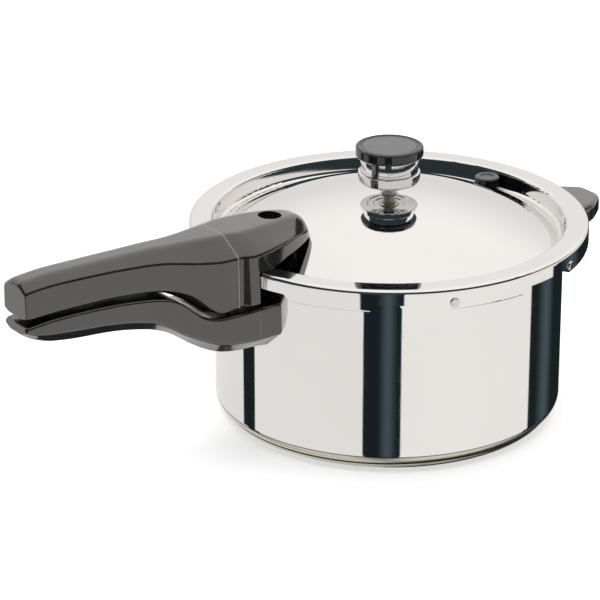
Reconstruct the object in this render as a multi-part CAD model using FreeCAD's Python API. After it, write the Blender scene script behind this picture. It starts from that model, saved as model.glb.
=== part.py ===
import FreeCAD, Part
import math
import os

# Stovetop pressure cooker, about 4 litres, millimetres.
# Origin: centre of the underside of the base. +Z up. The long handles run
# along -X and the short helper handle along +X.

V = FreeCAD.Vector
UP = V(0, 0, 1)

# ---------------------------------------------------------------- dimensions
SHEET = 1.2             # steel sheet of pot and cover
POT_R = 106.0           # outside of the pot wall
POT_BOTTOM = 4.7        # underside of the pot sheet, on top of the base stack
POT_CORNER = 7.0        # outside corner between floor and wall
FLARE_R = 6.6           # outside radius where the wall turns out to the flange
FLANGE_TOP = 113.5      # top of the pot flange, the sealing face
FLANGE_R = 113.4        # flange between the lugs
POT_LUG_R = 118.9       # flange at the lugs
POT_LUG_DEG = 16.0

BASE_R = 95.0           # flat that stands on the stove
BASE_EDGE = 7.5         # radius of the base cap's edge
CAP_TOP = 4.5           # upper edge of the base cap
CAP_SHEET = 0.8
CORE_R = 94.0

COVER_R = 121.0         # outside of the cover skirt
RIM_TOP = 122.4         # flat rim of the cover
RIM_IN_R = 106.9        # inner edge of the flat rim
GROOVE_R = 105.2        # bottom corner of the groove inside the rim
GROOVE_Z = 110.5
CREST_Z = 137.7         # top of the dome
DOME_R = 216.0          # sphere radius of the dome
DOME_END_R = 98.0       # where the dome runs out straight
SKIRT_Z = 113.5         # skirt edge between the lugs
LUG_Z = 109.0           # skirt edge at the lugs
LUG_IN_R = 114.8        # inner edge of the turned-in cover lugs
LUG_DEG = 22.0          # full depth of a cover lug
LUG_DEG_TOP = 27.0      # cover lug with its sloped ends
LUG_COUNT = 8
LUG_AZ0 = -143.7        # azimuth of the first lug

RING_IN_R = 108.9
RING_OUT_R = 118.6
RING_Z = (113.6, 120.9)

STUD_AZ = (-109.0, -65.0)
STUD_Z = 113.6
STUD_D = 5.6

PLUG_AZ = 13.0
PLUG_AT_R = 96.5
PLUG_D = 15.5
PLUG_NECK_D = 10.0
PLUG_TOP = 121.5

PIPE_D = 7.8
PIPE_BORE_D = 2.6
PIPE_TOP = 156.8
PIPE_THREAD_D = 6.4
PIPE_LOW = 128.5
NUT_AF = 11.0
NUT_Z = (132.6, 136.2)

WEIGHT_D = 37.5         # lower chrome ring of the regulator
WEIGHT_Z = (145.3, 151.8)
REG_D = 35.3            # upper chrome drum of the regulator
REG_Z = (151.8, 160.8)
KNOB_D = 41.0           # moulded cap of the regulator
KNOB_Z = (160.8, 167.8)
INSERT_D = 13.0
REG_BORE_D = 8.6

VENT_X = -88.0          # air vent and cover lock
VENT_HOLE_D = 12.0
VENT_STEM_D = 6.0
VENT_BORE_D = 6.6
VENT_DISC_D = 10.5
VENT_DISC_Z = (104.2, 106.2)
VENT_HEAD_D = 9.4
VENT_HEAD_Z = (124.1, 131.5)
GASKET_D = 17.0
GASKET_Z = (112.5, 124.0)
VIEW_D = 14.0           # viewing hole in the cover handle

LOCK_Z = (107.6, 108.8)
LOCK_HOLE_D = 11.5
LOCK_SLOT = 7.2

SEAM_X = -128.5         # joint between the two mouldings of the cover handle
LOW_SEAM_X = -114.5     # joint between the two mouldings of the pot handle

RACK_R = 90.0
RACK_Z = 12.0
RACK_SHEET = 1.2


# ------------------------------------------------------------------- helpers
def cyl(d, z0, z1, x=0.0, y=0.0):
    return Part.makeCylinder(d / 2.0, z1 - z0, V(x, y, z0), UP)


def box(x0, x1, y0, y1, z0, z1):
    return Part.makeBox(x1 - x0, y1 - y0, z1 - z0, V(x0, y0, z0))


def turned(shape, degrees):
    out = shape.copy()
    out.rotate(V(0, 0, 0), UP, degrees)
    return out


def polar(r, degrees, z=0.0):
    a = math.radians(degrees)
    return V(r * math.cos(a), r * math.sin(a), z)


def unit(a, b):
    d = b.sub(a)
    return d.multiply(1.0 / d.Length)


def round_edges(points, radii, closed=True):
    """Straight edges through the points with tangent arcs at the corners."""
    n = len(points)
    ins, outs, mids = [], [], []
    for i, p in enumerate(points):
        if not closed and i in (0, n - 1):
            ins.append(p)
            outs.append(p)
            mids.append(None)
            continue
        a = points[i - 1]
        b = points[(i + 1) % n]
        ua = unit(p, a)
        ub = unit(p, b)
        half = math.acos(max(-1.0, min(1.0, ua.dot(ub)))) / 2.0
        room = 0.46 * min(a.sub(p).Length, b.sub(p).Length)
        reach = min(radii[i] / math.tan(half), room)
        if reach < 0.01:
            ins.append(p)
            outs.append(p)
            mids.append(None)
            continue
        r = reach * math.tan(half)
        bis = ua.add(ub)
        bis.normalize()
        ins.append(p.add(ua.multiply(reach)))
        outs.append(p.add(ub.multiply(reach)))
        mids.append(p.add(bis.multiply(r / math.sin(half) - r)))
    edges = []
    for i in range(n):
        if mids[i] is not None:
            edges.append(Part.Arc(ins[i], mids[i], outs[i]).toShape())
        if i < n - 1 or closed:
            edges.append(Part.makeLine(outs[i], ins[(i + 1) % n]))
    return edges


def spin(points, radii=None):
    """Solid of revolution about Z from (r, z) corner points."""
    pts = [V(r, 0, z) for r, z in points]
    rad = radii or [0.0] * len(pts)
    face = Part.Face(Part.Wire(round_edges(pts, rad)))
    return face.revolve(V(0, 0, 0), UP, 360)


def loft(sections):
    """Smooth solid through (x, [(y, z)...], [radius...]) cross-sections."""
    wires = []
    for x, pts, radii in sections:
        corners = [V(x, y, z) for y, z in pts]
        wires.append(Part.Wire(round_edges(corners, radii)))
    return Part.makeLoft(wires, True, False)


def smooth(table, x, column):
    """Shape-keeping cubic through one column of a station table."""
    xs = [row[0] for row in table]
    ys = [row[column] for row in table]
    n = len(xs)
    step = [(ys[i + 1] - ys[i]) / (xs[i + 1] - xs[i]) for i in range(n - 1)]
    slope = [step[0]]
    for i in range(1, n - 1):
        a, b = step[i - 1], step[i]
        slope.append(0.0 if a * b <= 0 else 2.0 * a * b / (a + b))
    slope.append(step[-1])
    i = 0
    while i < n - 2 and x > xs[i + 1]:
        i += 1
    h = xs[i + 1] - xs[i]
    t = (x - xs[i]) / h
    return (ys[i] * (1 + 2 * t) * (1 - t) ** 2
            + slope[i] * h * t * (1 - t) ** 2
            + ys[i + 1] * t * t * (3 - 2 * t)
            + slope[i + 1] * h * t * t * (t - 1))


def stations(start, stop, pitch):
    count = max(2, int(round(abs(stop - start) / pitch)))
    return [start + (stop - start) * i / count for i in range(count + 1)]


def dome_z(r, offset=0.0):
    """Height of the dome surface at radius r, offset along its normal."""
    s = DOME_R + offset
    return CREST_Z - DOME_R + math.sqrt(s * s - r * r)


# ------------------------------------------------------------------ base, pot
def base_cap():
    top_r = BASE_R + math.sqrt(BASE_EDGE ** 2 - (BASE_EDGE - CAP_TOP) ** 2)
    inner = BASE_EDGE - CAP_SHEET
    in_r = BASE_R + math.sqrt(inner ** 2 - (BASE_EDGE - CAP_TOP) ** 2)
    low = math.radians(-58)

    def on(radius):
        return V(BASE_R + radius * math.cos(low), 0, BASE_EDGE + radius * math.sin(low))

    edges = [
        Part.makeLine(V(0, 0, 0), V(BASE_R, 0, 0)),
        Part.Arc(V(BASE_R, 0, 0), on(BASE_EDGE), V(top_r, 0, CAP_TOP)).toShape(),
        Part.makeLine(V(top_r, 0, CAP_TOP), V(in_r, 0, CAP_TOP)),
        Part.Arc(V(in_r, 0, CAP_TOP), on(inner), V(BASE_R, 0, CAP_SHEET)).toShape(),
        Part.makeLine(V(BASE_R, 0, CAP_SHEET), V(0, 0, CAP_SHEET)),
        Part.makeLine(V(0, 0, CAP_SHEET), V(0, 0, 0)),
    ]
    return Part.Face(Part.Wire(edges)).revolve(V(0, 0, 0), UP, 360)


def base_core():
    return cyl(2 * CORE_R, CAP_SHEET, POT_BOTTOM)


def pot_shell():
    under = FLANGE_TOP - SHEET
    flare_z = under - FLARE_R
    flare_r = POT_R + FLARE_R
    corner_z = POT_BOTTOM + POT_CORNER
    corner_r = POT_R - POT_CORNER
    c45 = math.cos(math.radians(45))
    inner = POT_CORNER - SHEET
    wide = FLARE_R + SHEET
    edges = [
        Part.makeLine(V(0, 0, POT_BOTTOM), V(corner_r, 0, POT_BOTTOM)),
        Part.Arc(V(corner_r, 0, POT_BOTTOM),
                 V(corner_r + POT_CORNER * c45, 0, corner_z - POT_CORNER * c45),
                 V(POT_R, 0, corner_z)).toShape(),
        Part.makeLine(V(POT_R, 0, corner_z), V(POT_R, 0, flare_z)),
        Part.Arc(V(POT_R, 0, flare_z),
                 V(flare_r - FLARE_R * c45, 0, flare_z + FLARE_R * c45),
                 V(flare_r, 0, under)).toShape(),
        Part.makeLine(V(flare_r, 0, under), V(FLANGE_R, 0, under)),
        Part.makeLine(V(FLANGE_R, 0, under), V(FLANGE_R, 0, FLANGE_TOP)),
        Part.makeLine(V(FLANGE_R, 0, FLANGE_TOP), V(flare_r, 0, FLANGE_TOP)),
        Part.Arc(V(flare_r, 0, FLANGE_TOP),
                 V(flare_r - wide * c45, 0, flare_z + wide * c45),
                 V(POT_R - SHEET, 0, flare_z)).toShape(),
        Part.makeLine(V(POT_R - SHEET, 0, flare_z), V(POT_R - SHEET, 0, corner_z)),
        Part.Arc(V(POT_R - SHEET, 0, corner_z),
                 V(corner_r + inner * c45, 0, corner_z - inner * c45),
                 V(corner_r, 0, POT_BOTTOM + SHEET)).toShape(),
        Part.makeLine(V(corner_r, 0, POT_BOTTOM + SHEET), V(0, 0, POT_BOTTOM + SHEET)),
        Part.makeLine(V(0, 0, POT_BOTTOM + SHEET), V(0, 0, POT_BOTTOM)),
    ]
    shell = Part.Face(Part.Wire(edges)).revolve(V(0, 0, 0), UP, 360)
    lug = Part.makeCylinder(POT_LUG_R, SHEET, V(0, 0, under), UP, POT_LUG_DEG)
    hole = Part.makeCylinder(FLANGE_R - 0.4, SHEET + 2, V(0, 0, under - 1), UP)
    lug = turned(lug.cut(hole), -POT_LUG_DEG / 2.0)
    lugs = [turned(lug, LUG_AZ0 + 45.0 * k) for k in range(LUG_COUNT)]
    return shell.multiFuse(lugs).removeSplitter()


def lock_bracket():
    """Slotted tab inside the pot that the cover lock's disc rises into."""
    in_r = POT_R - SHEET
    strap = Part.makeCylinder(in_r, 12, V(0, 0, LOCK_Z[1] - 12), UP, 9)
    strap = strap.cut(Part.makeCylinder(in_r - 1.4, 20, V(0, 0, 90), UP))
    strap = turned(strap, 175.5)
    strap = strap.cut(box(-110, -90, -20, 20, 104.3, 120))
    plate = box(-in_r, -79, -13, 9, LOCK_Z[0], LOCK_Z[1])
    plate = plate.common(Part.makeCylinder(in_r - 0.7, 40, V(0, 0, 90), UP))
    web = Part.makeCylinder(in_r - 0.2, 5.2, V(0, 0, LOCK_Z[1] - 5.2), UP, 9)
    web = turned(web.cut(Part.makeCylinder(in_r - 1.4, 20, V(0, 0, 90), UP)), 175.5)
    slot = Part.makeCylinder(-VENT_X + LOCK_SLOT / 2, 12, V(0, 0, 100), UP, 12)
    slot = slot.cut(Part.makeCylinder(-VENT_X - LOCK_SLOT / 2, 12, V(0, 0, 100), UP))
    slot = turned(slot, 180)
    hole = cyl(LOCK_HOLE_D, 100, 112, VENT_X)
    return strap.fuse(web).fuse(plate).cut(slot).cut(hole).removeSplitter()


def cooking_rack():
    """Perforated disc on three pressed feet."""
    disc = cyl(2 * RACK_R, RACK_Z, RACK_Z + RACK_SHEET)
    edge = spin([(RACK_R - 1.2, RACK_Z - 2.5), (RACK_R, RACK_Z - 2.5),
                 (RACK_R, RACK_Z + 0.5), (RACK_R - 1.2, RACK_Z + 0.5)])
    floor = POT_BOTTOM + SHEET
    feet = []
    for k in range(3):
        c = polar(62, 30 + 120 * k)
        foot = Part.makeCone(4.0, 8.0, RACK_Z - floor + 0.3, V(c.x, c.y, floor), UP)
        core = Part.makeCone(2.6, 6.6, RACK_Z - floor + 0.3, V(c.x, c.y, floor + 1.4), UP)
        feet.append(foot.cut(core))
    holes = []
    for ring, count in ((17, 6), (34, 12), (51, 18), (75, 24)):
        for k in range(count):
            c = polar(ring, 360.0 * (k + 0.5) / count)
            holes.append(cyl(6.0, RACK_Z - 1, RACK_Z + 3, c.x, c.y))
    return disc.multiFuse([edge] + feet).cut(Part.makeCompound(holes)).removeSplitter()


# ---------------------------------------------------------------------- cover
def cover_profile():
    """Closed half-profile of the cover sheet: dome, groove, rim and skirt."""
    ang = math.asin(DOME_END_R / DOME_R)
    along = (math.cos(ang), -math.sin(ang))
    end = (DOME_END_R, dome_z(DOME_END_R))
    corner_r = end[0] + (end[1] - GROOVE_Z) * along[0] / -along[1]
    outer = [(end[0], end[1]), (min(corner_r, GROOVE_R), GROOVE_Z),
             (RIM_IN_R, RIM_TOP), (COVER_R, RIM_TOP), (COVER_R, SKIRT_Z)]
    normals = []
    for a, b in zip(outer[:-1], outer[1:]):
        d = math.hypot(b[0] - a[0], b[1] - a[1])
        normals.append(((b[1] - a[1]) / d, -(b[0] - a[0]) / d))
    inner = [(outer[0][0] + normals[0][0] * SHEET, outer[0][1] + normals[0][1] * SHEET)]
    for i in range(1, len(outer) - 1):
        n0, n1 = normals[i - 1], normals[i]
        k = SHEET / (1.0 + n0[0] * n1[0] + n0[1] * n1[1])
        inner.append((outer[i][0] + (n0[0] + n1[0]) * k, outer[i][1] + (n0[1] + n1[1]) * k))
    inner.append((COVER_R - SHEET, SKIRT_Z))
    top = round_edges([V(r, 0, z) for r, z in outer], [0, 3.5, 2.2, 2.6, 0], False)
    low = round_edges([V(r, 0, z) for r, z in inner], [0, 4.7, 1.0, 1.4, 0], False)
    first = V(outer[0][0], 0, outer[0][1])
    first_in = V(inner[0][0], 0, inner[0][1])
    crest = V(0, 0, CREST_Z)
    crest_in = V(0, 0, CREST_Z - SHEET)
    mid_r = DOME_END_R / 2.0
    in_r = inner[0][0] / 2.0
    edges = [Part.Arc(crest, V(mid_r, 0, dome_z(mid_r)), first).toShape()]
    edges += top
    edges.append(Part.makeLine(V(COVER_R, 0, SKIRT_Z), V(COVER_R - SHEET, 0, SKIRT_Z)))
    edges += low
    edges.append(Part.Arc(first_in, V(in_r, 0, dome_z(in_r, -SHEET)), crest_in).toShape())
    edges.append(Part.makeLine(crest_in, crest))
    return Part.Face(Part.Wire(Part.sortEdges(edges)[0]))


def cover_lug():
    """One turned-in lug on the +X side of the skirt."""
    strip = spin([(LUG_IN_R, LUG_Z), (COVER_R, LUG_Z), (COVER_R, SKIRT_Z + 0.4),
                  (COVER_R - SHEET, SKIRT_Z + 0.4), (COVER_R - SHEET, LUG_Z + SHEET),
                  (LUG_IN_R, LUG_Z + SHEET)],
                 [0.5, 1.7, 0, 0, 0.6, 0.5])
    low = COVER_R * math.sin(math.radians(LUG_DEG / 2.0))
    high = COVER_R * math.sin(math.radians(LUG_DEG_TOP / 2.0))
    z0, z1 = LUG_Z - 1, SKIRT_Z + 0.4
    slope = (high - low) / (SKIRT_Z - LUG_Z)
    wedge = Part.Face(Part.makePolygon([
        V(90, -low + slope, z0), V(90, low - slope, z0),
        V(90, high + 0.4 * slope, z1), V(90, -high - 0.4 * slope, z1),
        V(90, -low + slope, z0)])).extrude(V(50, 0, 0))
    lug = strip.common(wedge)
    stop = Part.makeCylinder(COVER_R - 0.5, 3.6, V(0, 0, LUG_Z + 0.4), UP, 1.6)
    stop = stop.cut(Part.makeCylinder(LUG_IN_R + 0.6, 10, V(0, 0, LUG_Z - 2), UP))
    return lug.fuse(turned(stop, 9.0))


def cover_shell():
    body = cover_profile().revolve(V(0, 0, 0), UP, 360)
    lug = cover_lug()
    body = body.multiFuse([turned(lug, LUG_AZ0 + 45.0 * k) for k in range(LUG_COUNT)])
    c = polar(PLUG_AT_R, PLUG_AZ)
    body = body.cut(cyl(PIPE_THREAD_D, 120, 145))
    body = body.cut(cyl(PLUG_NECK_D, 100, 130, c.x, c.y))
    body = body.cut(cyl(VENT_HOLE_D, 100, 130, VENT_X))
    for az in STUD_AZ:
        body = body.cut(stud_shank(az, 2.4, COVER_R - 3, COVER_R + 2))
    return body.removeSplitter()


def stud_shank(az, d, r0, r1):
    p = polar(r0, az, STUD_Z)
    return Part.makeCylinder(d / 2.0, r1 - r0, p, polar(1, az))


def cover_studs():
    studs = []
    for az in STUD_AZ:
        head = stud_shank(az, STUD_D, COVER_R - 0.05, COVER_R + 0.9)
        head = head.cut(Part.makeCylinder(COVER_R, 20, V(0, 0, 105), UP))
        rim = [e for e in head.Edges if e.BoundBox.DiagonalLength > 5
               and e.CenterOfMass.distanceToPoint(polar(COVER_R + 0.9, az, STUD_Z)) < 0.2]
        head = head.makeFillet(0.55, rim)
        shank = stud_shank(az, 2.4, COVER_R - SHEET, COVER_R + 0.3)
        studs.append(head.fuse(shank).removeSplitter())
    return Part.makeCompound(studs)


def sealing_ring():
    """Rubber ring, channel section open to the pressure side."""
    z0, z1 = RING_Z
    return spin([(RING_IN_R, z0), (RING_OUT_R, z0), (RING_OUT_R, z1), (RING_IN_R, z1),
                 (RING_IN_R, z1 - 2.0), (RING_IN_R + 5.2, z1 - 2.6),
                 (RING_IN_R + 5.2, z0 + 2.6), (RING_IN_R, z0 + 2.0)],
                [0.8, 1.4, 1.4, 0.8, 0.6, 1.2, 1.2, 0.6])


def overpressure_plug(cover):
    c = polar(PLUG_AT_R, PLUG_AZ)
    head = spin([(0, 108), (5.6, 108), (7.0, 110), (PLUG_D / 2, 112), (PLUG_D / 2, PLUG_TOP),
                 (5.0, PLUG_TOP), (4.2, PLUG_TOP - 0.8), (0, PLUG_TOP - 0.8)],
                [0, 1, 1, 0.5, 1.6, 0.4, 0.4, 0])
    head.translate(V(c.x, c.y, 0))
    plug = head.cut(cover)
    return plug.cut(cyl(4.2, 100, 114, c.x, c.y))


def vent_pipe():
    thread = cyl(PIPE_THREAD_D, PIPE_LOW, CREST_Z)
    pipe = spin([(0, CREST_Z), (PIPE_D / 2, CREST_Z), (PIPE_D / 2, PIPE_TOP - 2.2),
                 (2.2, PIPE_TOP), (0, PIPE_TOP)],
                [0, 0.2, 0.6, 0.3, 0])
    collar = spin([(0, CREST_Z), (5.4, CREST_Z), (5.4, CREST_Z + 1.6), (0, CREST_Z + 1.6)],
                  [0, 0, 0.5, 0])
    body = thread.fuse(pipe).fuse(collar)
    return body.cut(cyl(PIPE_BORE_D, 120, 160)).removeSplitter()


def vent_pipe_nut():
    pts = [polar(NUT_AF / 2 / math.cos(math.radians(30)), 60 * k, NUT_Z[0]) for k in range(7)]
    nut = Part.Face(Part.makePolygon(pts)).extrude(V(0, 0, NUT_Z[1] - NUT_Z[0]))
    return nut.cut(cyl(PIPE_THREAD_D, 120, 145))


def air_vent_gasket(cover):
    body = spin([(0, GASKET_Z[0]), (6.8, GASKET_Z[0]), (GASKET_D / 2, GASKET_Z[0] + 2.5),
                 (GASKET_D / 2, GASKET_Z[1]), (0, GASKET_Z[1])],
                [0, 0.8, 0.8, 1.0, 0])
    body.translate(V(VENT_X, 0, 0))
    body = body.cut(cyl(VENT_BORE_D, 100, 140, VENT_X))
    return body.cut(cover)


def air_vent_pin():
    """Rising pin: head seen in the handle's hole, stem and locking disc."""
    d0, d1 = VENT_DISC_Z
    h0, h1 = VENT_HEAD_Z
    pin = spin([(0, d0), (VENT_DISC_D / 2, d0), (VENT_DISC_D / 2, d1), (VENT_STEM_D / 2, d1),
                (VENT_STEM_D / 2, h0), (VENT_HEAD_D / 2, h0), (VENT_HEAD_D / 2, h1), (0, h1)],
               [0, 0.5, 0.5, 0.3, 0, 0.4, 1.2, 0])
    pin.translate(V(VENT_X, 0, 0))
    return pin


# ------------------------------------------------------------------ regulator
def regulator_weight():
    z0, z1 = WEIGHT_Z
    r = WEIGHT_D / 2
    return spin([(INSERT_D / 2, z0 + 1.8), (9.6, z0 + 1.8), (10.4, z0 + 0.9), (13.6, z0 + 0.9),
                 (14.4, z0), (r, z0), (r, z1), (INSERT_D / 2, z1)],
                [0, 0.3, 0.3, 0.3, 0.3, 0.9, 0.7, 0])


def regulator_drum():
    z0, z1 = REG_Z
    r = REG_D / 2
    return spin([(INSERT_D / 2, z0), (r, z0), (r, z1), (INSERT_D / 2, z1)], [0, 0.3, 0.4, 0])


def regulator_insert():
    z0 = WEIGHT_Z[0] + 0.6
    body = spin([(REG_BORE_D / 2, z0), (INSERT_D / 2 - 0.4, z0), (INSERT_D / 2, z0 + 0.6),
                 (INSERT_D / 2, REG_Z[1]), (0, REG_Z[1]), (0, PIPE_TOP - 1.2),
                 (0.9, PIPE_TOP + 0.2), (REG_BORE_D / 2, PIPE_TOP + 0.2)],
                [0.3, 0, 0, 0.2, 0, 0, 0, 0])
    return body


def regulator_cap():
    z0, z1 = KNOB_Z
    r = KNOB_D / 2
    return spin([(0, z0), (r - 1.2, z0), (r, z0 + 1.4), (r, z1 - 0.5), (r - 1.6, z1 + 0.1),
                 (r - 3.0, z1 - 0.5), (0, z1 - 0.1)],
                [0, 0.8, 0.8, 1.0, 1.2, 0.8, 0])


# --------------------------------------------------------------- long handles
# Each station: distance from the cooker's axis, half width at the lower edge,
# half width at the upper edge, lower edge height, upper edge height, crown.
GRIP_TOP = (
    (128.5, 28.0, 27.0, 102.4, 132.8, 142.7),
    (134.0, 26.8, 25.6, 101.6, 132.4, 142.7),
    (139.5, 25.4, 24.0, 101.4, 132.0, 142.7),
    (143.5, 23.8, 22.4, 102.6, 131.9, 142.7),
    (148.5, 21.9, 20.8, 107.4, 132.3, 142.7),
    (155.5, 19.8, 19.0, 113.6, 133.2, 142.7),
    (163.0, 18.0, 17.4, 117.2, 134.6, 142.9),
    (174.0, 16.1, 15.7, 120.2, 136.4, 143.4),
    (190.0, 14.9, 14.5, 122.2, 137.8, 143.5),
    (215.0, 13.8, 13.5, 123.4, 139.0, 143.7),
    (240.0, 13.1, 12.8, 123.2, 139.4, 143.8),
    (255.0, 12.7, 12.4, 122.5, 138.6, 142.7),
    (259.5, 12.4, 12.1, 122.3, 137.8, 142.2),
    (261.6, 11.9, 11.6, 122.6, 136.8, 140.8),
    (262.0, 11.2, 11.0, 123.2, 136.0, 139.6),
)
# Underside keel of the cover handle: distance and depth.
KEEL = (
    (128.5, 2.4), (139.5, 2.6), (143.5, 3.0), (148.5, 4.6), (155.5, 5.6),
    (163.0, 4.2), (174.0, 2.8), (215.0, 2.4), (250.0, 2.2), (262.0, 1.6),
)
MOUNT_TOP = (
    (64.6, 6.4, 5.0, 103.4, 129.4, 132.2),
    (65.4, 9.0, 7.4, 103.4, 130.2, 134.8),
    (67.4, 12.2, 10.6, 103.4, 131.4, 137.8),
    (71.0, 15.4, 13.6, 103.4, 132.4, 140.2),
    (76.0, 18.6, 16.8, 103.4, 133.4, 141.6),
    (84.0, 23.0, 21.2, 103.4, 134.4, 142.3),
    (94.0, 27.4, 25.8, 103.4, 135.0, 142.6),
    (102.0, 30.2, 28.6, 103.4, 135.0, 142.7),
    (110.0, 32.0, 30.4, 103.2, 134.6, 142.7),
    (117.0, 32.2, 31.0, 103.0, 134.0, 142.7),
    (122.0, 30.6, 29.6, 102.8, 133.4, 142.7),
    (128.5, 28.0, 27.0, 102.4, 132.8, 142.7),
)
# Pot handle: distance, half width of the bottom, half width at the side edge,
# half width of the top, bottom height, side edge height, top height.
GRIP_LOW = (
    (114.5, 17.6, 28.8, 28.4, 70.6, 79.6, 98.8),
    (121.0, 17.0, 27.6, 27.2, 70.4, 79.4, 98.2),
    (129.0, 16.0, 26.2, 25.8, 70.8, 79.6, 97.4),
    (138.0, 14.6, 24.4, 24.0, 72.8, 80.8, 96.8),
    (146.0, 12.8, 22.4, 22.0, 76.4, 83.2, 98.0),
    (154.0, 11.2, 20.6, 20.2, 81.4, 86.8, 103.2),
    (161.0, 10.2, 19.2, 18.8, 86.4, 90.4, 109.2),
    (168.0, 9.4, 18.0, 17.6, 90.6, 95.4, 113.4),
    (180.0, 8.6, 16.4, 16.0, 94.8, 102.0, 116.0),
    (204.0, 7.8, 14.6, 14.2, 99.0, 106.8, 118.2),
    (229.0, 7.4, 13.6, 13.2, 100.8, 109.0, 118.8),
    (244.0, 7.2, 13.2, 12.8, 103.0, 110.2, 118.6),
    (254.0, 6.8, 12.7, 12.3, 106.4, 111.6, 117.6),
    (260.2, 6.4, 12.0, 11.6, 110.0, 113.4, 116.8),
    (262.0, 5.8, 11.0, 10.6, 111.4, 113.8, 115.8),
)
POT_MOUNT = (
    (96.0, 19.0, 31.6, 31.2, 69.2, 81.6, 100.0),
    (102.0, 18.8, 30.8, 30.4, 69.6, 81.2, 99.8),
    (108.0, 18.3, 29.8, 29.4, 70.2, 80.4, 99.4),
    (114.5, 17.6, 28.8, 28.4, 70.6, 79.6, 98.8),
)


def top_section(table, d):
    wb, we, zb, ze, zc = [smooth(table, d, k) for k in range(1, 6)]
    flat = 0.42 * we
    pts = [(-wb, zb), (wb, zb), (we, ze), (flat, zc), (-flat, zc), (-we, ze)]
    return (-d, pts, [2.0, 2.0, 3.0, 9.0, 9.0, 3.0])


def keel_section(table, d):
    """The same section with a shallow keel along the underside."""
    x, pts, radii = top_section(table, d)
    drop = smooth(KEEL, d, 1)
    side = 0.62 * pts[1][0]
    zb = pts[0][1]
    keel = [(-side, zb - drop), (side, zb - drop)]
    return (x, [pts[0]] + keel + pts[1:], [1.0, 1.4, 1.4, 1.0] + radii[2:])


def low_section(table, d):
    w0, w1, w2, z0, z1, z2 = [smooth(table, d, k) for k in range(1, 7)]
    pts = [(-w0, z0), (w0, z0), (w1, z1), (w2, z2), (-w2, z2), (-w1, z1)]
    return (-d, pts, [5.0, 5.0, 3.0, 2.0, 2.0, 3.0])


def grip_stations(table, tail):
    first = table[0][0]
    last = table[-1][0]
    return stations(first, last - tail, 6.0) + [last - tail * (1 - f) for f in (0.4, 0.75, 0.93, 1.0)]


def cover_void():
    """Everything at or below the cover's outer surface, for seating mouldings."""
    rim = cyl(2 * (COVER_R + 0.4), 60, RIM_TOP + 0.1)
    ball = Part.makeSphere(DOME_R + 0.15, V(0, 0, CREST_Z - DOME_R))
    return rim.fuse(ball)


def screw(x, z_head, z_end, head_d, shank_d, head_h):
    """Pan-head screw pointing up, head at the bottom with a straight slot."""
    head = spin([(0, z_head), (head_d / 2, z_head), (head_d / 2, z_head + head_h),
                 (0, z_head + head_h)], [0, head_h * 0.45, 0, 0])
    head.translate(V(x, 0, 0))
    shank = cyl(shank_d, z_head + head_h - 0.1, z_end, x)
    slot = box(x - head_d, x + head_d, -0.6, 0.6, z_head - 1, z_head + head_h * 0.45)
    return head.fuse(shank).cut(slot).removeSplitter()


NOSE_BOSS = 15.5        # half width of the nose's inner boss
STRAP_W = 15.0
STRAP_T = 2.0
STRAP_END = -160.0
COVER_SCREWS = (-137.0, -152.0)
BODY_SCREW = -137.0
TONGUE_Z = (84.0, 86.4)
TONGUE_END = -150.0
TONGUE_W = 16.0
HELPER_SCREW = 127.0
HELPER_TONGUE_Z = (97.0, 99.0)
HELPER_Z = (92.0, 104.4)
HELPER_END = 140.0


def cover_handle_bracket():
    """Strap welded to the rim of the cover, reaching out into the grip."""
    strap = box(STRAP_END, -(RIM_IN_R + 1.0), -STRAP_W / 2, STRAP_W / 2, RIM_TOP, RIM_TOP + STRAP_T)
    for x in COVER_SCREWS:
        strap = strap.cut(cyl(4.0, 110, 130, x))
    return strap


def strap_tunnel():
    return box(STRAP_END - 0.3, -RIM_IN_R, -STRAP_W / 2 - 0.2, STRAP_W / 2 + 0.2,
               RIM_TOP - 0.1, RIM_TOP + STRAP_T + 0.2)


def cover_screw_holes():
    holes = []
    for x in COVER_SCREWS:
        z = screw_seat(x)
        holes.append(cyl(8.4, 90, z + 2.6, x))
        holes.append(cyl(4.0, 90, RIM_TOP + STRAP_T + 6.0, x))
    return holes


def screw_seat(x):
    return smooth(GRIP_TOP, -x, 3) + 3.0


def cover_handle_grip():
    body = loft([keel_section(GRIP_TOP, d) for d in grip_stations(GRIP_TOP, 5.0)])
    body = body.cut(box(SEAM_X - 0.15, 0, -60, 60, 60, 200))
    body = body.cut(strap_tunnel())
    for hole in cover_screw_holes():
        body = body.cut(hole)
    return body


def nose_relief():
    """Space under the nose: its lower edge hovers above the dome, round a boss."""
    side = Part.makePolygon([V(-50, -60, 95), V(-107, -60, 95), V(-107, -60, 123.2),
                             V(-94, -60, 126.2), V(-50, -60, 128.6), V(-50, -60, 95)])
    space = Part.Face(side).extrude(V(0, 120, 0))
    boss = cyl(2 * NOSE_BOSS, 90, 135, VENT_X)
    return space.cut(boss).cut(box(-115, VENT_X, -NOSE_BOSS, NOSE_BOSS, 90, 135))


def cover_handle_mount():
    marks = [64.6, 65.0, 65.8, 67.4, 69.8]
    body = loft([top_section(MOUNT_TOP, d) for d in marks + stations(73.5, 128.5, 5.0)])
    body = body.cut(nose_relief()).cut(cover_void())
    body = body.cut(strap_tunnel())
    body = body.cut(cyl(VIEW_D, 90, 160, VENT_X))
    return body.cut(cyl(GASKET_D + 1.4, 90, 125.0, VENT_X))


def cover_handle_screws():
    return Part.makeCompound([
        screw(x, screw_seat(x), RIM_TOP + STRAP_T + 5.0, 7.6, 4.0, 2.6) for x in COVER_SCREWS])


def pot_wall_void(extra):
    return Part.makeCylinder(POT_R + extra, 160, V(0, 0, -10), UP)


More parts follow.
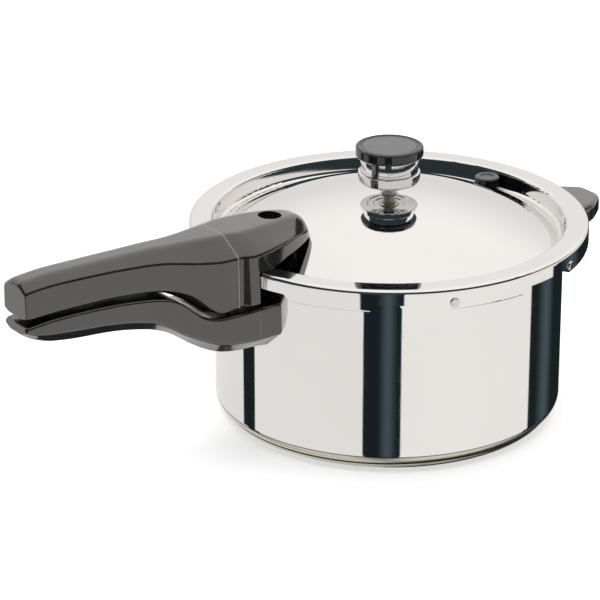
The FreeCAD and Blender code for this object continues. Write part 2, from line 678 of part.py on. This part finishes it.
def body_handle_bracket():
    """Bracket welded to the pot wall with a tongue inside the handle."""
    pad = Part.makeCylinder(POT_R + 1.6, 22, V(0, 0, 70), UP, 16).cut(pot_wall_void(0.0))
    pad = turned(pad, 172)
    tongue = box(TONGUE_END, -(POT_R + 0.8), -TONGUE_W / 2, TONGUE_W / 2, TONGUE_Z[0], TONGUE_Z[1])
    tongue = tongue.cut(cyl(4.6, 70, 100, BODY_SCREW))
    return pad.fuse(tongue).removeSplitter()


def tongue_tunnel():
    return box(TONGUE_END - 0.3, -(POT_R - 2), -TONGUE_W / 2 - 0.2, TONGUE_W / 2 + 0.2,
               TONGUE_Z[0] - 0.1, TONGUE_Z[1] + 0.1)


def body_seat():
    return smooth(GRIP_LOW, -BODY_SCREW, 4) + 3.4


def body_handle_grip():
    body = loft([low_section(GRIP_LOW, d) for d in grip_stations(GRIP_LOW, 6.0)])
    body = body.cut(box(LOW_SEAM_X - 0.15, 0, -60, 60, 30, 160))
    body = body.cut(tongue_tunnel())
    body = body.cut(cyl(11.0, 50, body_seat(), BODY_SCREW))
    return body.cut(cyl(5.0, 50, 94, BODY_SCREW))


def body_handle_mount():
    body = loft([low_section(POT_MOUNT, d) for d in stations(96.0, 114.5, 4.6)])
    body = body.cut(pot_wall_void(0.1))
    body = body.cut(tongue_tunnel())
    pad = Part.makeCylinder(POT_R + 1.8, 22.6, V(0, 0, 69.7), UP, 16.4)
    return body.cut(turned(pad, 171.8))


def body_handle_screw():
    return screw(BODY_SCREW, body_seat() - 3.8, 92.0, 9.0, 4.6, 2.8)


def body_handle_washer():
    z = body_seat()
    return cyl(10.4, z - 1.0, z, BODY_SCREW).cut(cyl(5.0, 50, 100, BODY_SCREW))


# -------------------------------------------------------------- helper handle
def helper_bracket():
    pad = Part.makeCylinder(POT_R + 1.6, 14, V(0, 0, 86.4), UP, 14).cut(pot_wall_void(0.0))
    pad = turned(pad, -7)
    tongue = box(POT_R + 0.8, HELPER_END, -8, 8, HELPER_TONGUE_Z[0], HELPER_TONGUE_Z[1])
    tongue = tongue.cut(cyl(4.0, 90, 110, HELPER_SCREW))
    return pad.fuse(tongue).removeSplitter()


def helper_handle():
    outline = [(98, -30.5), (118, -29), (147, -21), (162, -9),
               (162, 9), (147, 21), (118, 29), (98, 30.5)]
    edges = round_edges([V(x, y, HELPER_Z[0]) for x, y in outline],
                        [0, 40, 24, 10, 10, 24, 40, 0])
    body = Part.Face(Part.Wire(edges)).extrude(V(0, 0, HELPER_Z[1] - HELPER_Z[0]))
    rim = [e for e in body.Edges
           if e.BoundBox.ZLength < 0.01 and e.CenterOfMass.x > 99]
    body = body.makeFillet(3.6, rim)
    body = body.cut(pot_wall_void(0.1))
    body = body.cut(box(90, HELPER_END + 0.3, -8.2, 8.2,
                        HELPER_TONGUE_Z[0] - 0.1, HELPER_TONGUE_Z[1] + 0.1))
    pad = turned(Part.makeCylinder(POT_R + 1.8, 14.4, V(0, 0, 86.2), UP, 14.4), -7.2)
    body = body.cut(pad)
    body = body.cut(cyl(8.4, 77, 94.6, HELPER_SCREW))
    return body.cut(cyl(4.0, 77, 101.4, HELPER_SCREW))


def helper_handle_screw():
    return screw(HELPER_SCREW, 92.0, 100.8, 7.6, 4.0, 2.6)


# --------------------------------------------------------------------- export
cover = cover_shell()
NODES = {
    "pot_shell": pot_shell(),
    "base_core": base_core(),
    "base_cap": base_cap(),
    "lock_bracket": lock_bracket(),
    "cooking_rack": cooking_rack(),
    "body_handle_bracket": body_handle_bracket(),
    "body_handle_mount": body_handle_mount(),
    "body_handle_grip": body_handle_grip(),
    "body_handle_screw": body_handle_screw(),
    "body_handle_washer": body_handle_washer(),
    "helper_bracket": helper_bracket(),
    "helper_handle": helper_handle(),
    "helper_handle_screw": helper_handle_screw(),
    "sealing_ring": sealing_ring(),
    "cover_shell": cover,
    "cover_studs": cover_studs(),
    "overpressure_plug": overpressure_plug(cover),
    "vent_pipe": vent_pipe(),
    "vent_pipe_nut": vent_pipe_nut(),
    "air_vent_gasket": air_vent_gasket(cover),
    "cover_handle_bracket": cover_handle_bracket(),
    "cover_handle_mount": cover_handle_mount(),
    "cover_handle_grip": cover_handle_grip(),
    "cover_handle_screws": cover_handle_screws(),
    "air_vent_pin": air_vent_pin(),
    "regulator_weight": regulator_weight(),
    "regulator_drum": regulator_drum(),
    "regulator_insert": regulator_insert(),
    "regulator_cap": regulator_cap(),
}

os.makedirs("parts", exist_ok=True)
for name, shape in NODES.items():
    shape.exportStep("parts/" + name + ".step")
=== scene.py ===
import math

import bpy
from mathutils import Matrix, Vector


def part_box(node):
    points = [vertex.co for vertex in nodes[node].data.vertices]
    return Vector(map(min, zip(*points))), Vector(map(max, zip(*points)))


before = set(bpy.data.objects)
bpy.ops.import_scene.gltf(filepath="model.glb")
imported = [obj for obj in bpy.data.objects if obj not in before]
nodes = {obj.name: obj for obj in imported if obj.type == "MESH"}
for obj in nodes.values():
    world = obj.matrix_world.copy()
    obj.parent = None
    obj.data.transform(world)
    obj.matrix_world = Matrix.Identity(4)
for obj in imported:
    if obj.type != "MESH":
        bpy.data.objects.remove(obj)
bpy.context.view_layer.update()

# ------------------------------------------------------------------ view, room
# Camera: azimuth it stands at, and elevation and distance from the base's centre.
CAM_AZ = -127.5
CAM_ELEV = 24.41
CAM_DIST = 1.871
CAM_LOOK = (0.53898, 0.75021, -0.38300)
CAM_LENS = 180.7

# The studio seen in the polished steel. Angles are in degrees and run from the
# camera's side of the room, positive to its right. Each panel is (from, to,
# brightness), and what lies between two panels is dark.
ROOM_PANELS = (
    (-180.0, -110.5, 0.88),
    (-98.0, -15.5, 0.91),
    (9.4, 108.5, 0.98),
)
ROOM_GLOWS = ((0.7, 7.0, 0.075), (129.0, 14.0, 0.08))    # middle, half width, level
ROOM_FILL = 0.018                   # light left in the dark gaps
ROOM_DARK = (0.66, 0.98, 1.14)      # tint of the dark gaps
ROOM_LIGHT = (1.0, 0.980, 0.972)    # tint of the light panels
PANEL_EDGE = 0.5                    # half width of a panel's soft edge

# The hood: a dark patch high over the camera's side.
HOOD_LEFT = (-107.0, -101.0)        # soft left edge
HOOD_RIGHT = 126.0                  # right edge at HOOD_BEND and lower
HOOD_BEND = 20.0                    # elevation above which the right edge swings in
HOOD_SWING = 0.07                   # degrees of swing per square degree of rise
HOOD_FOOT = 7.0                     # elevation of its lower edge
HOOD_STEP = (70.0, 90.0, 9.0)       # from, to, and how far the lower edge rises there
HOOD_TOP = (57.0, 61.0)             # soft upper edge
UPPER_LEVEL = (0.77, 0.30, 42.0)    # brightness at elevation 0, gain, and its elevation
UPPER_FILL = 0.045

CLAD_TINT = (0.62, 0.595, 0.51)     # satin band round the foot of the pot
CLAD_TOP = 0.0108                   # height of its seam
CLAD_SEAM = (0.10, 0.095, 0.085)    # the seam's own dark line
POLISH = 0.022                      # roughness of clean polished steel
GAP_SHADE_REACH = 0.004                     # reach of the painted shade in gaps
SEAM_WIDTH = 0.0006                 # half width of the painted highlight along the line where two mouldings meet
FLOOR_RADIUS = 14.0
FLOOR_SIDES = 96
FLOOR_DROP = 0.0001                 # floor lies this far below the base


# ------------------------------------------------------------- shader helpers
class Graph:
    """A node tree with short calls for the nodes that are used most."""

    def __init__(self, tree):
        self.tree = tree
        self.coords = self.node("ShaderNodeTexCoord")

    def node(self, kind, **values):
        made = self.tree.nodes.new(kind)
        for key, value in values.items():
            setattr(made, key, value)
        return made

    def link(self, out, into):
        self.tree.links.new(out, into)

    def split(self, vector):
        made = self.node("ShaderNodeSeparateXYZ")
        self.link(vector, made.inputs[0])
        return made.outputs

    def math(self, op, a, b=None, c=None):
        made = self.node("ShaderNodeMath", operation=op)
        for i, value in enumerate((a, b, c)):
            if value is None:
                continue
            if isinstance(value, (int, float)):
                made.inputs[i].default_value = value
            else:
                self.link(value, made.inputs[i])
        return made.outputs[0]

    def invert(self, value):
        return self.math("SUBTRACT", 1.0, value)

    def span(self, value, low, high, out_low=0.0, out_high=1.0):
        """Smooth ramp from out_low to out_high as value goes from low to high."""
        made = self.node("ShaderNodeMapRange", interpolation_type="SMOOTHSTEP")
        made.inputs["From Min"].default_value = low
        made.inputs["From Max"].default_value = high
        made.inputs["To Min"].default_value = out_low
        made.inputs["To Max"].default_value = out_high
        self.link(value, made.inputs["Value"])
        return made.outputs["Result"]

    def blend(self, fac, a, b):
        made = self.node("ShaderNodeMix", data_type="RGBA")
        self.link(fac, made.inputs["Factor"])
        for socket, value in ((made.inputs[6], a), (made.inputs[7], b)):
            if isinstance(value, tuple):
                socket.default_value = (*value, 1.0)
            else:
                self.link(value, socket)
        return made.outputs[2]


class Shader(Graph):
    """A principled material built on a Graph."""

    def __init__(self, name):
        self.mat = bpy.data.materials.new(name)
        self.mat.use_nodes = True
        super().__init__(self.mat.node_tree)
        self.bsdf = self.tree.nodes["Principled BSDF"]

    def set(self, **values):
        for key, value in values.items():
            self.bsdf.inputs[key.replace("_", " ")].default_value = value

    def position(self, scale=(1, 1, 1)):
        mapping = self.node("ShaderNodeMapping")
        mapping.inputs["Scale"].default_value = scale
        self.link(self.coords.outputs["Object"], mapping.inputs["Vector"])
        return mapping.outputs["Vector"]

    def noise(self, scale, detail=3.0, rough=0.55, stretch=(1, 1, 1)):
        tex = self.node("ShaderNodeTexNoise")
        tex.inputs["Scale"].default_value = scale
        tex.inputs["Detail"].default_value = detail
        tex.inputs["Roughness"].default_value = rough
        self.link(self.position(stretch), tex.inputs["Vector"])
        return tex.outputs["Fac"]

    def radius(self):
        """Distance from the object's vertical axis, and height, in metres."""
        place = self.split(self.coords.outputs["Object"])
        x2 = self.math("MULTIPLY", place["X"], place["X"])
        y2 = self.math("MULTIPLY", place["Y"], place["Y"])
        return self.math("SQRT", self.math("ADD", x2, y2)), place["Z"]

    def rings(self, pitch):
        """Fine concentric lathe or polishing lines round the vertical axis."""
        r, z = self.radius()
        combined = self.node("ShaderNodeCombineXYZ")
        self.link(r, combined.inputs["X"])
        self.link(z, combined.inputs["Z"])
        tex = self.node("ShaderNodeTexNoise")
        tex.inputs["Scale"].default_value = 1.0 / pitch
        tex.inputs["Detail"].default_value = 2.0
        self.link(combined.outputs[0], tex.inputs["Vector"])
        return tex.outputs["Fac"]

    def bump(self, height, strength, distance):
        made = self.node("ShaderNodeBump")
        made.inputs["Strength"].default_value = strength
        made.inputs["Distance"].default_value = distance
        self.link(height, made.inputs["Height"])
        previous = self.bsdf.inputs["Normal"]
        if previous.is_linked:
            self.link(previous.links[0].from_socket, made.inputs["Normal"])
        self.link(made.outputs["Normal"], previous)

    def edge_wear(self, low, high):
        """1 on worn convex edges, 0 elsewhere."""
        geometry = self.node("ShaderNodeNewGeometry")
        return self.span(geometry.outputs["Pointiness"], low, high)


# ------------------------------------------------------------------ materials
def polished_steel(name, tint=(0.80, 0.785, 0.765), smudge=0.05, line=0.0006, clad=None):
    """Mirror-polished stainless: faint polishing lines, smudges, and painted shade in crevices.

    Below the height given as clad it turns into the satin band of the base.
    """
    s = Shader(name)
    s.set(Metallic=1.0, Base_Color=(*tint, 1.0))
    wide = s.noise(9.0, 4.0)
    fine = s.noise(70.0, 5.0, 0.65)
    mixed = s.math("MULTIPLY_ADD", fine, 0.4, s.math("MULTIPLY", wide, 0.6))
    gloss = s.span(mixed, 0.35, 0.72, POLISH, POLISH + smudge)
    hue = s.blend(s.span(wide, 0.3, 0.7), tint, tuple(c * 0.97 for c in tint))
    # Painted shade: the colour darkens where nearby parts occlude, as in gaps and under the lid's
    # skirt.
    gap_shade = s.node("ShaderNodeAmbientOcclusion", samples=6)
    gap_shade.inputs["Distance"].default_value = GAP_SHADE_REACH
    hue = s.blend(s.span(gap_shade.outputs["AO"], 0.30, 0.62, 1.0, 0.0), hue,
                  tuple(c * 0.30 for c in tint))
    if clad is not None:
        z = s.split(s.coords.outputs["Object"])["Z"]
        band = s.span(z, clad, clad - 0.0002)
        hue = s.blend(band, hue, CLAD_TINT)
        away = s.math("ABSOLUTE", s.math("SUBTRACT", z, clad))
        hue = s.blend(s.span(away, 0.0001, 0.0005, 1.0, 0.0), hue, CLAD_SEAM)
        gloss = s.math("ADD", gloss, s.math("MULTIPLY", band, 0.26))
    s.link(hue, s.bsdf.inputs["Base Color"])
    s.link(gloss, s.bsdf.inputs["Roughness"])
    s.bump(s.rings(line), 0.018, 0.0002)
    s.bump(s.noise(420.0, 2.0, 0.5, (1.0, 1.0, 0.15)), 0.008, 0.0002)
    return s.mat


def spun_steel(name, tint, rough=(0.24, 0.38), line=0.0005, strength=0.12):
    """Satin steel or aluminium with turned lines and a little staining."""
    s = Shader(name)
    s.set(Metallic=1.0)
    stain = s.noise(28.0, 6.0, 0.6)
    lines = s.rings(line)
    s.link(s.span(lines, 0.3, 0.7, rough[0], rough[1]), s.bsdf.inputs["Roughness"])
    dark = tuple(c * 0.80 for c in tint)
    s.link(s.blend(s.span(stain, 0.35, 0.75), tint, dark), s.bsdf.inputs["Base Color"])
    s.bump(lines, strength, 0.0002)
    return s.mat


def bright_metal(name, tint, rough=0.10):
    """Small turned or pressed metal piece with handling marks."""
    s = Shader(name)
    s.set(Metallic=1.0)
    grain = s.noise(600.0, 4.0, 0.6)
    wear = s.noise(140.0, 3.0)
    s.link(s.span(wear, 0.3, 0.75, rough, rough + 0.16), s.bsdf.inputs["Roughness"])
    dull = tuple(c * 0.82 for c in tint)
    s.link(s.blend(s.span(wear, 0.4, 0.8), tint, dull), s.bsdf.inputs["Base Color"])
    s.bump(grain, 0.05, 0.0001)
    return s.mat


def phenolic(name, seam=None, seam_highlight_tone=0.3):
    """Glossy black phenolic moulding: flow marks, fine ripple, worn edges, and a painted highlight
    along the seam.
    """
    s = Shader(name)
    s.set(Specular_IOR_Level=0.75, Coat_Weight=0.65, Coat_Roughness=0.035, IOR=1.55,
          Specular_Tint=(1.0, 0.97, 0.93, 1.0))
    flow = s.noise(16.0, 4.0, 0.6, (0.35, 1.0, 1.0))
    deep = (0.010, 0.0095, 0.009)
    light = (0.022, 0.020, 0.018)
    color = s.blend(s.span(flow, 0.3, 0.75), deep, light)
    color = s.blend(s.edge_wear(0.56, 0.66), color, (0.045, 0.042, 0.038))
    if seam is not None:
        x = s.split(s.coords.outputs["Object"])["X"]
        away = s.math("ABSOLUTE", s.math("SUBTRACT", x, seam))
        # Pale line at the seam: a painted highlight; the joint between the two mouldings is real.
        pale = (seam_highlight_tone, seam_highlight_tone * 0.98, seam_highlight_tone * 0.95)
        color = s.blend(s.span(away, 0.0, SEAM_WIDTH, 1.0, 0.0), color, pale)
    s.link(color, s.bsdf.inputs["Base Color"])
    s.link(s.span(flow, 0.3, 0.8, 0.11, 0.19), s.bsdf.inputs["Roughness"])
    s.bump(s.noise(900.0, 2.0, 0.5), 0.03, 0.0001)
    s.bump(s.noise(55.0, 2.0), 0.04, 0.0002)
    return s.mat


def knob_plastic(name, node, inset=0.0042, depth=0.0016):
    """Glossy black moulding with a leather-like grain on its recessed top."""
    s = Shader(name)
    s.set(Specular_IOR_Level=0.6, IOR=1.5)
    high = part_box(node)[1]
    r, z = s.radius()
    on_top = s.math("MULTIPLY", s.span(r, high.x - inset, high.x - inset - 0.0004),
                    s.span(z, high.z - depth, high.z - depth + 0.0003))
    cells = s.node("ShaderNodeTexVoronoi")
    cells.inputs["Scale"].default_value = 1500.0
    s.link(s.position(), cells.inputs["Vector"])
    tone = s.noise(60.0, 3.0)
    shade = s.blend(s.span(tone, 0.3, 0.7), (0.010, 0.010, 0.011), (0.017, 0.017, 0.018))
    grain = s.blend(s.span(cells.outputs["Distance"], 0.1, 0.6),
                    (0.12, 0.118, 0.115), (0.17, 0.167, 0.161))
    s.link(s.blend(on_top, shade, grain), s.bsdf.inputs["Base Color"])
    gloss = s.span(tone, 0.3, 0.8, 0.06, 0.13)
    s.link(s.math("ADD", gloss, s.math("MULTIPLY", on_top, 0.36)), s.bsdf.inputs["Roughness"])
    s.bump(s.math("MULTIPLY", cells.outputs["Distance"], on_top), 0.5, 0.0003)
    return s.mat


def rubber(name, tint=(0.016, 0.016, 0.018), rough=(0.30, 0.55), pale_above=None):
    """Dark silicone rubber with a fine matt skin and dust, paler on a top face."""
    s = Shader(name)
    s.set(Specular_IOR_Level=0.45)
    skin = s.noise(1100.0, 3.0, 0.6)
    dust = s.noise(90.0, 5.0, 0.65)
    light = tuple(c * 2.4 for c in tint)
    color = s.blend(s.span(dust, 0.5, 0.8), tint, light)
    if pale_above is not None:
        z = s.split(s.coords.outputs["Object"])["Z"]
        color = s.blend(s.span(z, *pale_above), color, (0.07, 0.07, 0.07))
    s.link(color, s.bsdf.inputs["Base Color"])
    s.link(s.span(dust, 0.3, 0.8, *rough), s.bsdf.inputs["Roughness"])
    s.bump(skin, 0.12, 0.0001)
    return s.mat


def plug_rubber(name, node, lip=0.0013):
    """Glossy rubber plug, dark down its side and paler on its top face."""
    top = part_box(node)[1].z
    return rubber(name, (0.010, 0.010, 0.012), (0.10, 0.22), (top - lip, top - lip * 0.5))


def paint(material, *names):
    for name in names:
        slots = nodes[name].data.materials
        slots.clear()
        slots.append(material)


STEEL = polished_steel("steel_polished")
POT_STEEL = polished_steel("pot_steel", clad=CLAD_TOP)
CHROME = polished_steel("chrome", (0.83, 0.83, 0.84), 0.02, 0.0004)
BASE = spun_steel("base_steel", CLAD_TINT)
CORE = spun_steel("base_aluminium", (0.72, 0.72, 0.73))
RACK = spun_steel("rack_aluminium", (0.78, 0.78, 0.79), (0.28, 0.42), 0.0008, 0.08)
BRACKET = bright_metal("bracket_steel", (0.62, 0.61, 0.59), 0.22)
SCREW = bright_metal("screw_steel", (0.66, 0.65, 0.63), 0.12)
NICKEL = bright_metal("pipe_nickel", (0.92, 0.89, 0.82), 0.30)
BRASS = bright_metal("insert_brass", (0.82, 0.74, 0.58), 0.20)
HANDLE = phenolic("handle_phenolic")
HANDLE_TOP = phenolic("handle_phenolic_top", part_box("cover_handle_grip")[1].x)
HANDLE_LOW = phenolic("handle_phenolic_low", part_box("body_handle_grip")[1].x, 0.12)
CAP = knob_plastic("cap_plastic", "regulator_cap")
RING = rubber("ring_rubber", (0.020, 0.020, 0.022))
PLUG = plug_rubber("plug_rubber", "overpressure_plug")
GASKET = rubber("gasket_rubber")

paint(STEEL, "cover_shell")
paint(POT_STEEL, "pot_shell")
paint(CHROME, "regulator_weight", "regulator_drum", "air_vent_pin")
paint(BASE, "base_cap")
paint(CORE, "base_core")
paint(RACK, "cooking_rack")
paint(BRACKET, "lock_bracket", "body_handle_bracket", "helper_bracket", "cover_handle_bracket")
paint(SCREW, "body_handle_screw", "body_handle_washer", "helper_handle_screw", "cover_studs",
      "vent_pipe_nut", "cover_handle_screws")
paint(NICKEL, "vent_pipe")
paint(BRASS, "regulator_insert")
paint(HANDLE, "helper_handle")
paint(HANDLE_LOW, "body_handle_mount", "body_handle_grip")
paint(HANDLE_TOP, "cover_handle_mount", "cover_handle_grip")
paint(CAP, "regulator_cap")
paint(RING, "sealing_ring")
paint(PLUG, "overpressure_plug")
paint(GASKET, "air_vent_gasket")


# ---------------------------------------------------------------------- stage
def floor():
    """Round pale floor. The steel mirrors the room's panels and not the floor."""
    mesh = bpy.data.meshes.new("floor")
    turns = [2 * math.pi * k / FLOOR_SIDES for k in range(FLOOR_SIDES)]
    rim = [(FLOOR_RADIUS * math.cos(t), FLOOR_RADIUS * math.sin(t), -FLOOR_DROP) for t in turns]
    mesh.from_pydata(rim, [], [list(range(FLOOR_SIDES))])
    made = bpy.data.objects.new("floor", mesh)
    bpy.context.scene.collection.objects.link(made)
    s = Shader("floor_paper")
    tone = s.noise(2.0, 2.0)
    s.link(s.blend(tone, (0.93, 0.93, 0.93), (0.95, 0.95, 0.95)), s.bsdf.inputs["Base Color"])
    s.set(Roughness=0.9, Specular_IOR_Level=0.0, Emission_Color=(1, 1, 1, 1), Emission_Strength=0.50)
    mesh.materials.append(s.mat)
    made.visible_glossy = False


def panels(g, side):
    """Brightness at eye level: pale panels, and faint glows in the dark gaps."""
    level = ROOM_FILL
    for start, end, value in ROOM_PANELS:
        inside = g.invert(g.span(side, end - PANEL_EDGE, end + PANEL_EDGE))
        if start > -180.0:
            inside = g.math("MULTIPLY", g.span(side, start - PANEL_EDGE, start + PANEL_EDGE), inside)
        level = g.math("MULTIPLY_ADD", inside, value, level)
    for middle, half, glow in ROOM_GLOWS:
        near = g.math("ABSOLUTE", g.math("SUBTRACT", side, middle))
        level = g.math("MULTIPLY_ADD", g.span(near, half, 0.0), glow, level)
    return level


def hood(g, side, elev):
    """1 inside the dark hood over the camera's side, 0 outside it."""
    rise = g.math("MAXIMUM", g.math("SUBTRACT", elev, HOOD_BEND), 0.0)
    swing = g.math("MULTIPLY", g.math("MULTIPLY", rise, rise), HOOD_SWING)
    past = g.math("ADD", g.math("SUBTRACT", side, HOOD_RIGHT), swing)
    step_from, step_to, step = HOOD_STEP
    foot = g.math("MULTIPLY_ADD", g.span(side, step_from, step_to), step, HOOD_FOOT)
    inside = g.math("MULTIPLY", g.span(side, *HOOD_LEFT), g.invert(g.span(past, -2.0, 2.0)))
    inside = g.math("MULTIPLY", inside, g.invert(g.span(elev, *HOOD_TOP)))
    return g.math("MULTIPLY", inside, g.span(g.math("SUBTRACT", elev, foot), -1.0, 1.0))


def room():
    """World light: pale panels with dark gaps between them, and a dark hood."""
    world = bpy.data.worlds.new("studio")
    bpy.context.scene.world = world
    world.use_nodes = True
    g = Graph(world.node_tree)
    back = g.tree.nodes["Background"]
    turn = g.node("ShaderNodeVectorRotate", rotation_type="Z_AXIS")
    turn.inputs["Angle"].default_value = math.radians(-CAM_AZ)
    g.link(g.coords.outputs["Generated"], turn.inputs["Vector"])
    way = g.split(turn.outputs["Vector"])
    to_degrees = 180.0 / math.pi
    side = g.math("MULTIPLY", g.math("ARCTAN2", way["Y"], way["X"]), to_degrees)
    elev = g.math("MULTIPLY", g.math("ARCSINE", way["Z"]), to_degrees)
    base, gain, reach = UPPER_LEVEL
    pale = g.math("MULTIPLY_ADD", g.span(elev, 0.0, reach), gain, base)
    high = g.math("MULTIPLY_ADD", g.invert(hood(g, side, elev)), pale, UPPER_FILL)
    # The upper half begins lower on the far side of the room.
    lift = g.math("MULTIPLY", g.span(way["X"], 0.3, -0.3), g.span(elev, -9.0, -6.0))
    lift = g.math("MAXIMUM", lift, g.span(elev, 5.0, 8.0))
    level = g.math("ADD", g.math("MULTIPLY", panels(g, side), g.invert(lift)),
                   g.math("MULTIPLY", high, lift))
    g.link(g.blend(g.span(level, 0.05, 0.5), ROOM_DARK, ROOM_LIGHT), back.inputs["Color"])
    g.link(level, back.inputs["Strength"])


def soft_light():
    """Wide overhead softbox for the floor and matt parts, not seen in the steel."""
    light = bpy.data.lights.new("overhead", "AREA")
    light.shape = "DISK"
    light.size = 2.4
    light.energy = 30.0
    made = bpy.data.objects.new("overhead", light)
    made.location = (-0.3, 0.2, 2.4)
    made.rotation_euler = (0.08, -0.12, 0)
    made.visible_glossy = False
    bpy.context.scene.collection.objects.link(made)


def camera():
    az, el = math.radians(CAM_AZ), math.radians(CAM_ELEV)
    data = bpy.data.cameras.new("camera")
    data.lens = CAM_LENS
    data.sensor_width = 36.0
    data.clip_end = 50.0
    made = bpy.data.objects.new("camera", data)
    made.location = (CAM_DIST * math.cos(el) * math.cos(az),
                     CAM_DIST * math.cos(el) * math.sin(az), CAM_DIST * math.sin(el))
    made.rotation_euler = Vector(CAM_LOOK).to_track_quat("-Z", "Y").to_euler()
    bpy.context.scene.collection.objects.link(made)
    bpy.context.scene.camera = made


floor()
room()
soft_light()
camera()
bpy.context.scene.view_settings.view_transform = "Standard"
